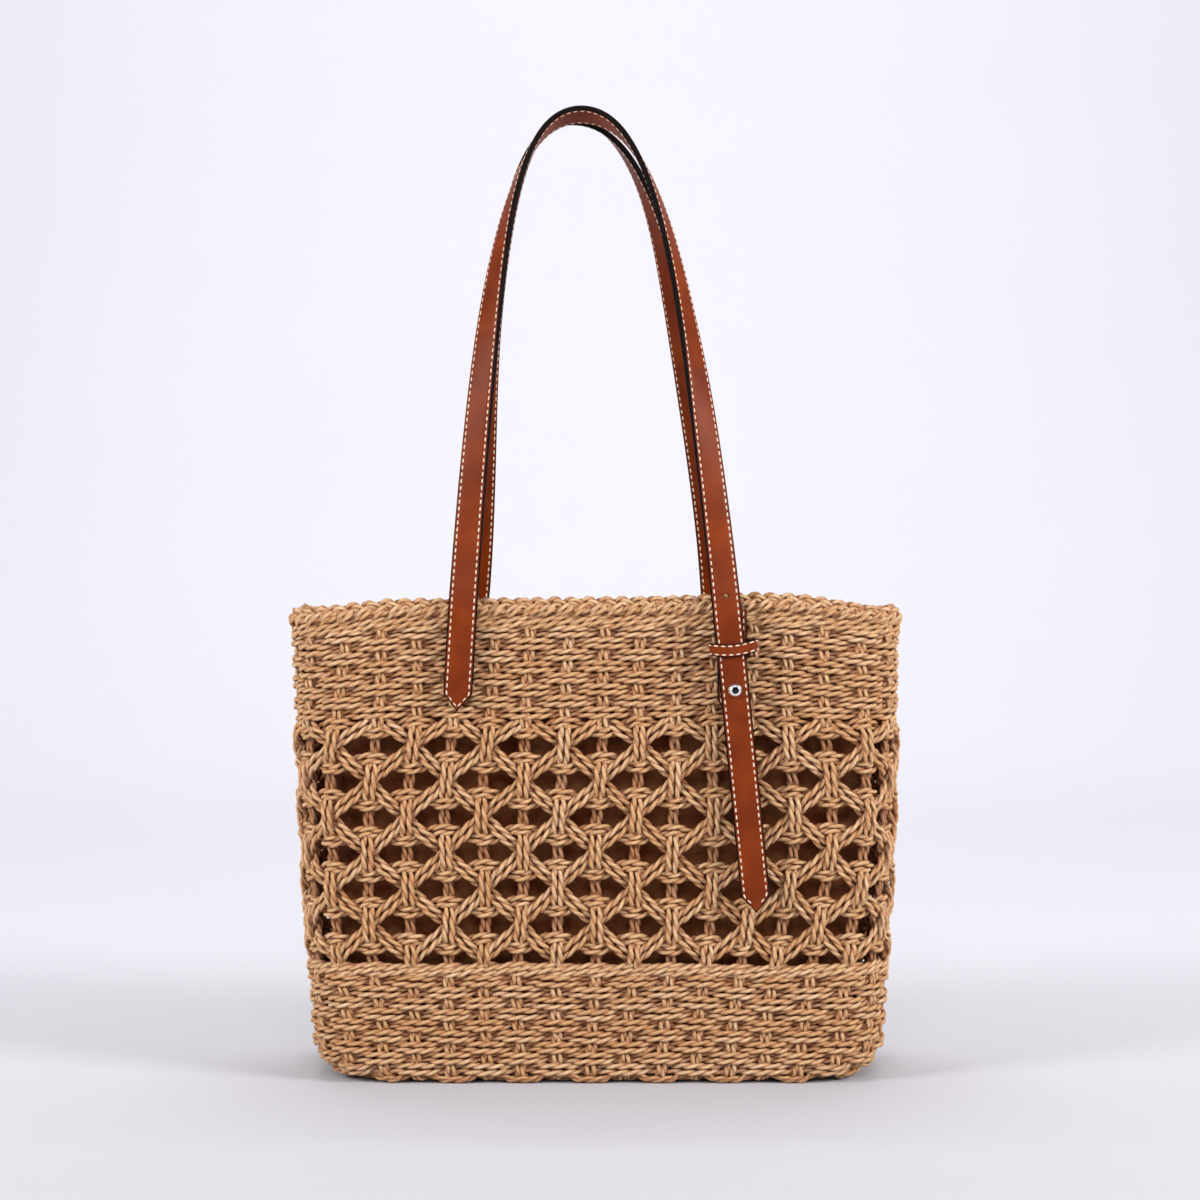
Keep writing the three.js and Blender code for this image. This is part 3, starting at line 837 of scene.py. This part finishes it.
TWIST_AT = [0, 0.13, 0.30, 0.40, 0.48, 0.58, 0.70, 0.80, 0.87, 0.93, 1.0]
TWISTS = (
    np.radians([0, 10, 20, 26, 32, 43, 59, 72, 79, 89, 104]),
    np.radians([0, 12, 24, 36, 47, 57, 66, 75, 80, 89, 104]),
)
BACK_CROWN, BACK_SWAY = 5.2, 4.3  # the back handle leans over by these
STITCH_PITCH, STITCH_LONG, STITCH_INSET = 3.95, 2.5, 1.9
STITCH_HALF_WIDTH, STITCH_HEIGHT = 0.46, 0.34
# along a stitch and its size there, as shares
STITCH_RINGS = ((-0.5, 0.12), (-0.4, 0.72), (-0.12, 1), (0.12, 1), (0.4, 0.72), (0.5, 0.12))
EDGE_ROUND = 0.8


def to_world(points, side, shift=RIM_HALF_Y):
    """Panel places, or directions when shift is 0, in the bag's frame."""
    out = points[..., 2] + shift
    return np.stack([points[..., 0] * side, -out * side, points[..., 1]], -1)


def line_to_world(side, place, *directions):
    return [to_world(place, side)] + [to_world(d, side, 0) for d in directions]


def leg(foot_x, foot_out, lean, crown_x):
    """One leg of the arch as places, upward directions and shares of its length."""
    inward = math.copysign(1, crown_x - foot_x)
    t = np.linspace(0, 1, 241)[:, None]
    x = [foot_x, foot_x + inward * LEG_PULL * math.tan(lean), crown_x - inward * CROWN_PULL, crown_x]
    y = [0, LEG_PULL, ARCH, ARCH]
    corners = [
        np.array([a, HINGE_Z + b, foot_out - (CROWN_REACH + foot_out) * b / ARCH])
        for a, b in zip(x, y)
    ]
    weights = [(1 - t) ** 3, 3 * (1 - t) ** 2 * t, 3 * (1 - t) * t**2, t**3]
    place = sum(w * c for w, c in zip(weights, corners))
    way = distances(place)
    return place, unit(np.gradient(place, axis=0)), way / way[-1]


def whole_strap(side):
    """The long strap from its sewn tip over the arch to its tail, on the panel."""
    middle, crown = MIDDLE * side, CROWN_X * side + (BACK_CROWN if side < 0 else 0)
    fixed_foot = np.array([middle + FIXED_X, HINGE_Z, FIXED_OUT + THICK / 2])
    cos, sin = math.cos(FIXED_LEAN), math.sin(FIXED_LEAN)
    hanging = np.array([-sin, -cos * math.cos(FIXED_TILT), -cos * math.sin(FIXED_TILT)])
    sewn = fixed_foot + hanging * np.arange(FIXED_LENGTH, 0.5, -1.0)[:, None]
    places, widths = [sewn], [np.tile([cos, -sin, 0], (len(sewn), 1))]
    adjusted_out = STRAP_OUT + THICK / 2
    legs = (
        leg(middle + FIXED_X, FIXED_OUT + THICK / 2, FIXED_LEAN, crown),
        leg(middle + ADJUSTED_X, adjusted_out, ADJUSTED_LEAN, crown),
    )
    for which, (place, along, share) in enumerate(legs):
        if side < 0:
            place[:, 0] += BACK_SWAY * np.sin(math.pi * share) ** 2
        along = along if which == 0 else -along
        lean_in = (CROWN_REACH + FIXED_OUT + THICK / 2) / ARCH
        front = np.tile([0, lean_in, 1.0], (len(place), 1))
        front = unit(front - along * (front * along).sum(1, keepdims=True))
        inward = np.cross(along, front)
        twist = np.interp(share, TWIST_AT, TWISTS[which])[:, None]
        width = inward * np.cos(twist) + front * np.sin(twist)
        places.append(place if which == 0 else place[-2::-1])
        widths.append(width if which == 0 else width[-2::-1])
    down = np.arange(1.0, TAIL_DOWN + TAIL_LENGTH, 1.0)[:, None]
    slope = np.array([math.sin(ADJUSTED_LEAN), -math.cos(ADJUSTED_LEAN), 0])
    foot = np.array([middle + ADJUSTED_X, HINGE_Z, adjusted_out])
    places.append(foot + slope * down)
    widths.append(np.tile([slope[1], -slope[0], 0], (len(down), 1)))
    places, widths = np.concatenate(places), np.concatenate(widths)
    (place, width), at, total = respace(places, [widths], 1.0, False)
    ends = smoothstep(0, 16, np.minimum(at, total - at))[:, None]
    place = place + (blurred(place, 5.0) - place) * ends
    width = blurred(width, 9.0)
    along = along_of(place, False)
    width = unit(width - along * (width * along).sum(1, keepdims=True))
    return place, width, np.cross(width, along), at, total


def strap_section(half, thick, edge, inset):
    """A strap's outline: width and height places, and which sides are painted edge."""
    tops = [edge, inset - 0.42, inset, inset + 0.42, inset + 1.3]
    across = [max(half - t, 0) for t in tops] + [min(0.45 * half, max(half - tops[-1], 0)), 0]
    dips = [0, 0.03, 0.26, 0.03, 0, 0, 0]
    fade = min(1.0, half / 4)
    crown = 0.16 * fade
    tops = [
        (u, thick / 2 - dip * fade + crown * (1 - (u / max(half, 0.1)) ** 2))
        for u, dip in zip(across, dips)
    ]
    upper = tops + [(-u, n) for u, n in tops[-2::-1]]
    middle, radius = max(half - edge, 0), min(edge, half)
    rim = [
        (middle + radius * math.cos(a), thick / 2 * math.sin(a))
        for a in np.radians([62, 32, 0, -32, -62])
    ]
    left = [(-u, n) for u, n in rim]
    lower = [(u, -n) for u, n in upper[::-1]]
    points = upper + left + lower + rim[::-1]
    face, side = len(upper) - 1, len(rim) + 1
    painted = [0] * face + [1] * side + [0] * face + [1] * side
    return np.array(points), painted


def ribbon(
    name, place, width, out, halves, thick=THICK, edge=EDGE_ROUND, inset=STITCH_INSET, closed=False
):
    """A leather band with painted edges, swept along places."""
    sections = [strap_section(h, thick, edge, inset) for h in halves]
    painted = sections[0][1]
    outline = np.array([s[0] for s in sections])
    verts = place[:, None] + outline[..., :1] * width[:, None] + outline[..., 1:] * out[:, None]
    rings, sides = verts.shape[:2]
    faces = [tube_quads(rings, sides, closed)]
    materials = np.tile(painted, len(faces[0]) // sides)
    if not closed:
        faces.append(end_caps(rings, sides))
        materials = np.concatenate([materials, [1, 1]])
    return make_mesh(name, verts.reshape(-1, 3), faces, [LEATHER, EDGE], materials)


def stitch_row(line, out, verts, quads):
    """Adds one stitch after another along a line, lying on the side that faces out."""
    way = distances(line)
    sides = 6
    angles = circle(sides)
    for centre in np.arange(1.0, way[-1] - 1.0, STITCH_PITCH):
        at = [np.interp(centre + d, way, line[:, k]) for d in (-1, 0, 1) for k in range(3)]
        before, point, after = np.array(at).reshape(3, 3)
        along = unit(after - before)
        normal = np.array([np.interp(centre, way, out[:, k]) for k in range(3)])
        normal = unit(normal - along * (normal @ along))
        side = np.cross(along, normal)
        along = unit(along + side * rng.uniform(-0.05, 0.05))
        first = sum(len(v) for v in verts)
        body = []
        for place, size in STITCH_RINGS:
            ring = (
                point
                + along * place * STITCH_LONG
                + np.outer(np.cos(angles), side) * STITCH_HALF_WIDTH * size
                + np.outer(np.sin(angles), normal) * STITCH_HEIGHT * size
            )
            body.append(ring)
        verts.append(np.concatenate(body))
        quads.extend(tube_quads(len(STITCH_RINGS), sides)[:, [0, 3, 2, 1]] + first)
        last = first + (len(STITCH_RINGS) - 1) * sides
        quads.extend(np.array([[0, 5, 4, 3], [0, 3, 2, 1]]) + first)
        quads.extend(np.array([[0, 1, 2, 3], [0, 3, 4, 5]]) + last)


def stitches(name, rows):
    verts, quads = [], []
    for line, out in rows:
        stitch_row(line, out, verts, quads)
    return make_mesh(name, np.concatenate(verts), [np.array(quads)[:, ::-1]], [THREAD])


def leather_stitches(name, rows):
    threads = stitches(name, rows)
    return threads


def stitch_lines(place, width, out, halves, thick=THICK, inset=STITCH_INSET, faces=(1, -1)):
    """The lines along both edges, on the front and on the back of a strap."""
    rows = []
    keep = halves > inset + 0.15
    for face in faces:
        for edge in (-1, 1):
            line = place + width * (edge * (halves - inset))[:, None]
            line = line + out * face * (thick / 2 - 0.02)
            rows.append((line[keep], (out * face)[keep]))
    return rows


def tip_halves(distance):
    """Half widths near a pointed end, from the distance to its tip."""
    return np.clip(distance / POINT, 0.02, 1) * STRAP_HALF


def punch(ob, place, radius, side):
    """A round hole through a strap."""
    depth, sides = 12, 24
    angles = circle(sides)
    ring = np.stack([place[0] + radius * np.cos(angles), place[1] + radius * np.sin(angles)], -1)
    ends = [np.column_stack([ring, np.full(sides, place[2] + z)]) for z in (-depth, depth)]
    verts = to_world(np.concatenate(ends), side)
    k = np.arange(sides)
    nxt = (k + 1) % sides
    faces = [np.stack([k, nxt, nxt + sides, k + sides], -1), np.array([k[::-1], k + sides])]
    cutter = make_mesh("punch", verts, faces, [LEATHER, EDGE], [1] * (sides + 2))
    boolean = ob.modifiers.new("hole", "BOOLEAN")
    boolean.object = cutter
    boolean.operation = "DIFFERENCE"
    boolean.solver = "MANIFOLD"
    apply_modifiers(ob)
    bpy.data.objects.remove(cutter)


def leather_piece(ob, *nodes):
    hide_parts(*nodes)


def stud(name, side, node):
    """The domed head and neck of the stud, turned about its own axis."""
    x, _, z = sum(cad_box(node)) / 2
    head_out = STRAP_OUT + THICK + 0.25
    neck_out = ANCHOR_OUT + 0.2
    profile = [(1.3, neck_out), (1.9, neck_out), (1.9, head_out), (3.35, head_out)]
    profile += [(3.8, head_out + 0.25), (3.9, head_out + 0.6)]
    profile += [(3.84, head_out + 0.9), (3.55, head_out + 1.15)]
    for angle in np.radians([8, 22, 36, 50, 64, 78, 88]):
        profile.append((3.5 * math.cos(angle), head_out + 1.15 + 1.75 * math.sin(angle)))
    profile = profile[:-3] + [(1.9, head_out + 2.7), (1.6, head_out + 2.3), (1.45, head_out + 1.3)]
    profile += [(0.02, head_out + 1.2)]
    segments = 40
    angles = circle(segments)
    verts = []
    for radius, out in profile:
        place = [x * side + radius * np.cos(angles), z + radius * np.sin(angles)]
        verts.append(np.stack([*place, np.full(segments, out)], -1))
    verts = to_world(np.concatenate(verts), side)
    quads = tube_quads(len(profile), segments)[:, [0, 3, 2, 1]]
    ring = np.arange(segments)
    last = (len(profile) - 1) * segments
    # painted reflection: the socket's rings take the dark metal, which stands in for a dark
    # reflection in the dome's middle
    bright = (len(profile) - 4) * segments  # the last rings are the socket
    metals = [0] * bright + [1] * (len(quads) - bright) + [0, 1]
    ends = np.array([ring[::-1], ring + last])
    ob = make_mesh(name, verts, [quads, ends], [NICKEL, SOCKET_PAINTED_REFLECTION], metals)
    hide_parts(node)
    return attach(ob, "bag")


def keeper(name, side, node, body):
    """The loose loop round both straps, with its stitching."""
    low, high = cad_box(node)
    ply, corner = 1.25, 2.6
    half_w = 13.0 - ply / 2
    out_low = 0.5 + ply / 2
    out_high = STRAP_OUT + THICK + 0.55 + ply / 2
    half_d = (out_high - out_low) / 2
    loop = []
    for quarter, (right, up) in enumerate(((1, 1), (-1, 1), (-1, -1), (1, -1))):
        centre = right * (half_w - corner), up * (half_d - corner)
        for a in np.radians(90 * quarter + np.linspace(0, 90, 8)):
            loop.append((centre[0] + corner * math.cos(a), centre[1] + corner * math.sin(a)))
    loop = respace(np.array(loop), [], 0.8, True)[0][0]
    bow = 0.35 * np.clip(1 - (loop[:, 0] / half_w) ** 2, 0, 1) * np.sign(loop[:, 1])
    loop[:, 1] += np.where(loop[:, 1] > 0, bow, 0)
    across = np.array([math.cos(ADJUSTED_LEAN), math.sin(ADJUSTED_LEAN), 0])
    upward = np.array([-math.sin(ADJUSTED_LEAN), math.cos(ADJUSTED_LEAN), 0])
    middle = (low + high) / 2
    middle = np.array([middle[0] * side, middle[2], (out_low + out_high) / 2])
    droop = 1.7 * (loop[:, :1] / half_w) ** 2 - 0.5
    place = middle + loop[:, :1] * across + droop * upward + loop[:, 1:] * np.array([0, 0, 1.0])
    along = along_of(place, True)
    width = np.tile(upward, (len(place), 1))
    out = np.cross(width, along)
    if ((place - middle) * out).sum() <= 0:
        width, out = -width, -out
    world = line_to_world(side, place, width, out)
    halves = np.full(len(place) + 1, KEEPER_HALF)
    ob = ribbon(name, *world, halves[1:], thick=ply, edge=0.55, inset=KEEPER_INSET, closed=True)
    leather_piece(ob, node)
    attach(ob, body)
    shut = [np.vstack([a, a[:1]]) for a in world]
    rows = stitch_lines(*shut, halves, thick=ply, inset=KEEPER_INSET, faces=(1,))
    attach(leather_stitches(f"{name}_stitches", rows), body)


def strap_set(name, side):
    """One side's strap, anchor, stud and keeper."""
    place, width, out, at, total = whole_strap(side)
    halves = np.minimum(tip_halves(at), tip_halves(total - at))
    down = TAIL_DOWN + TAIL_LENGTH - (total - at)
    place, width, out = line_to_world(side, place, width, out)
    seam = int(np.argmin(np.abs(down - KEEPER_DOWN)))
    foot_y = -(RIM_HALF_Y + STRAP_OUT + THICK) * side
    hinge = ((0, foot_y * MM, (HINGE_Z - 3) * MM), (0, foot_y * MM, (HINGE_Z + 34) * MM))
    stud_x, _, stud_z = sum(cad_box(f"{name}_stud")) / 2
    slope = np.array([math.sin(ADJUSTED_LEAN) * side, 0, -math.cos(ADJUSTED_LEAN)])
    knee = np.array([stud_x, foot_y, stud_z]) + slope * (TAIL_DOWN - STUD_DOWN)
    bend = (tuple((knee - slope * 1.0) * MM), tuple((knee + slope * 15.0) * MM))
    parts = (
        ("handle", slice(0, seam + 1), hinge, ("handle", "fixed_end")),
        ("tail", slice(seam, None), bend, ("tail", "buckled_strap")),
    )
    middle = MIDDLE * side
    for part, piece, line, nodes in parts:
        ob = ribbon(f"{name}_{part}_strap", place[piece], width[piece], out[piece], halves[piece])
        rows = stitch_lines(place[piece], width[piece], out[piece], halves[piece])
        threads = leather_stitches(f"{name}_{part}_stitches", rows)
        if part == "handle":
            hole_x = middle + ADJUSTED_X - HOLE_UP * math.tan(ADJUSTED_LEAN)
            punch(ob, (hole_x, HINGE_Z + HOLE_UP, STRAP_OUT), HOLE_RADIUS, side)
        plies = [f"{name}_{node}_{ply}" for node in nodes for ply in ("face", "backing")]
        leather_piece(ob, *plies)
        for o in (ob, threads):
            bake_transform(o)
    anchor_way = np.arange(0, ANCHOR_LENGTH + 0.1, 1.0)
    low_end = ANCHOR_TOP - ANCHOR_LENGTH
    start = np.array([middle + ADJUSTED_X + ANCHOR_X, low_end, ANCHOR_OUT + THICK / 2])
    anchor = start + np.outer(anchor_way, [0, 1.0, 0])
    axes = [np.tile(axis, (len(anchor), 1)) for axis in ([1.0, 0, 0], [0, 0, 1.0])]
    world = line_to_world(side, anchor, *axes)
    halves = tip_halves(anchor_way)
    ob = ribbon(f"{name}_anchor", *world, halves)
    leather_piece(ob, f"{name}_anchor_strap_face", f"{name}_anchor_strap_backing")
    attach(ob, "bag")
    rows = stitch_lines(*world, halves, faces=(1,))
    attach(leather_stitches(f"{name}_anchor_stitches", rows), "bag")
    stud(f"{name}_stud_head", side, f"{name}_stud")
    keeper(f"{name}_keeper", side, f"{name}_keeper_loop", f"{name}_keeper")
    screw_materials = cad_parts[f"{name}_stud_screw"].data.materials
    screw_materials.clear()
    screw_materials.append(NICKEL)


def hem_stitches():
    """Two rows of machine stitching on the inside of the lining's hem."""
    around = np.linspace(0, COLUMNS, 1201)
    inset = LINING_IN + 0.66
    rows = []
    for z in (HEM_TOP - 3.0, HEM_LOW + 2.0):
        half_x, half_y = wall_halves(z / TOP)
        x, y, nx, ny = plan(around, half_x - inset, half_y - inset, CORNER - inset)
        line = np.stack([x + sway(x, z), y, np.full_like(x, z)], -1)
        rows.append((line, -np.stack([nx, ny, np.zeros_like(nx)], -1)))
    threads = stitches("lining_hem_stitches", rows)
    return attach(threads, "bag")


hem_stitches()
strap_set("front", 1)
strap_set("back", -1)


# ---- Stage, lights and camera ----
# painted shade: the floor's colour where it is painted darkest, in front of and under the bag, and
# its colour far off
FLOOR_PAINTED_SHADE, FLOOR_FAR = srgb(188, 187, 192), srgb(209, 208, 213)


def stage():
    """A pale floor that sweeps up into a pale backdrop behind the bag, and behind the camera;
    painted shade darkens the floor in front of and under the bag.
    """
    p = Paint("studio_floor", 1.0, Specular_IOR_Level=0.1)
    grain = p.noise(p.place((1, 1, 1)), 3.0, 3.0)
    tone = p.ramp(p.value("tone"), (0.0, FLOOR_PAINTED_SHADE), (1.0, FLOOR_FAR))
    p.base(p.mix(p.maths("MULTIPLY", grain, 0.06), tone, srgb(180, 179, 184)))
    turns = np.radians(np.linspace(0, 90, 13))
    sweep = [(1400 * math.sin(a), 1400 * (1 - math.cos(a))) for a in turns]
    profile = [(-5400, 5000)] + [(-4000 - y, z) for y, z in reversed(sweep)]
    profile += [(y, 0) for y in (-3000, -1500, -300, -100, 150, 450, 1200)]
    profile += [(1600 + y, z) for y, z in sweep] + [(3000, 5000)]
    verts = [(x, y, z) for y, z in profile for x in (-12000, 12000)]
    quads = [[2 * i, 2 * i + 1, 2 * i + 3, 2 * i + 2] for i in range(len(profile) - 1)]
    # painted shade: the floor is painted darkest just in front of the bag and under it, and lightens
    # toward the backdrop and toward the camera
    at = [-3000, -1500, -300, -100, 450, 1200, 1900]
    painted_floor_light = np.interp([v[1] for v in verts], at, [1, 0.75, 0, 0.1, 0.6, 0.75, 1])
    floor = make_mesh(
        "studio_floor", verts, [np.array(quads)], [p.material], attributes={"tone": ("FLOAT", painted_floor_light)}
    )


def area_light(name, place, aim, size, power):
    light = bpy.data.lights.new(name, "AREA")
    light.shape = "RECTANGLE"
    light.size, light.size_y = size
    light.energy = power
    ob = bpy.data.objects.new(name, light)
    ob.location = place
    ob.rotation_euler = (Vector(aim) - Vector(place)).to_track_quat("-Z", "Y").to_euler()
    bpy.context.scene.collection.objects.link(ob)


def camera():
    cam = bpy.data.cameras.new("camera")
    cam.sensor_width = 36
    cam.lens = 70.9
    ob = bpy.data.objects.new("camera", cam)
    ob.location = (0.001, -1.36, 0.267)
    ob.rotation_euler = (math.pi / 2, 0, 0)
    bpy.context.scene.collection.objects.link(ob)
    bpy.context.scene.camera = ob


def world_light():
    world = bpy.data.worlds.new("studio")
    world.use_nodes = True
    background = world.node_tree.nodes["Background"]
    background.inputs["Color"].default_value = (0.96, 0.96, 1.0, 1)
    background.inputs["Strength"].default_value = 0.5
    bpy.context.scene.world = world


bpy.context.scene.view_settings.view_transform = "Standard"
camera()
stage()
world_light()
area_light("left", (-2.0, -1.2, 1.2), (0, 0, 0.22), (0.8, 0.8), 39)
area_light("right", (2.0, -1.1, 1.2), (0, 0, 0.22), (0.8, 0.8), 46)
area_light("front", (0, -2.2, 1.5), (0, 0, 0.3), (1.0, 0.5), 15)
area_light("top", (0, 0.5, 2.4), (0, 0, 0.2), (1.2, 1.2), 16)
area_light("backdrop", (0, 1.2, 2.6), (0, 3.2, 0.5), (3.5, 0.8), 46)
area_light("foreground", (0, -2.4, 2.2), (0, -5.4, 1.3), (4.0, 0.8), 60)
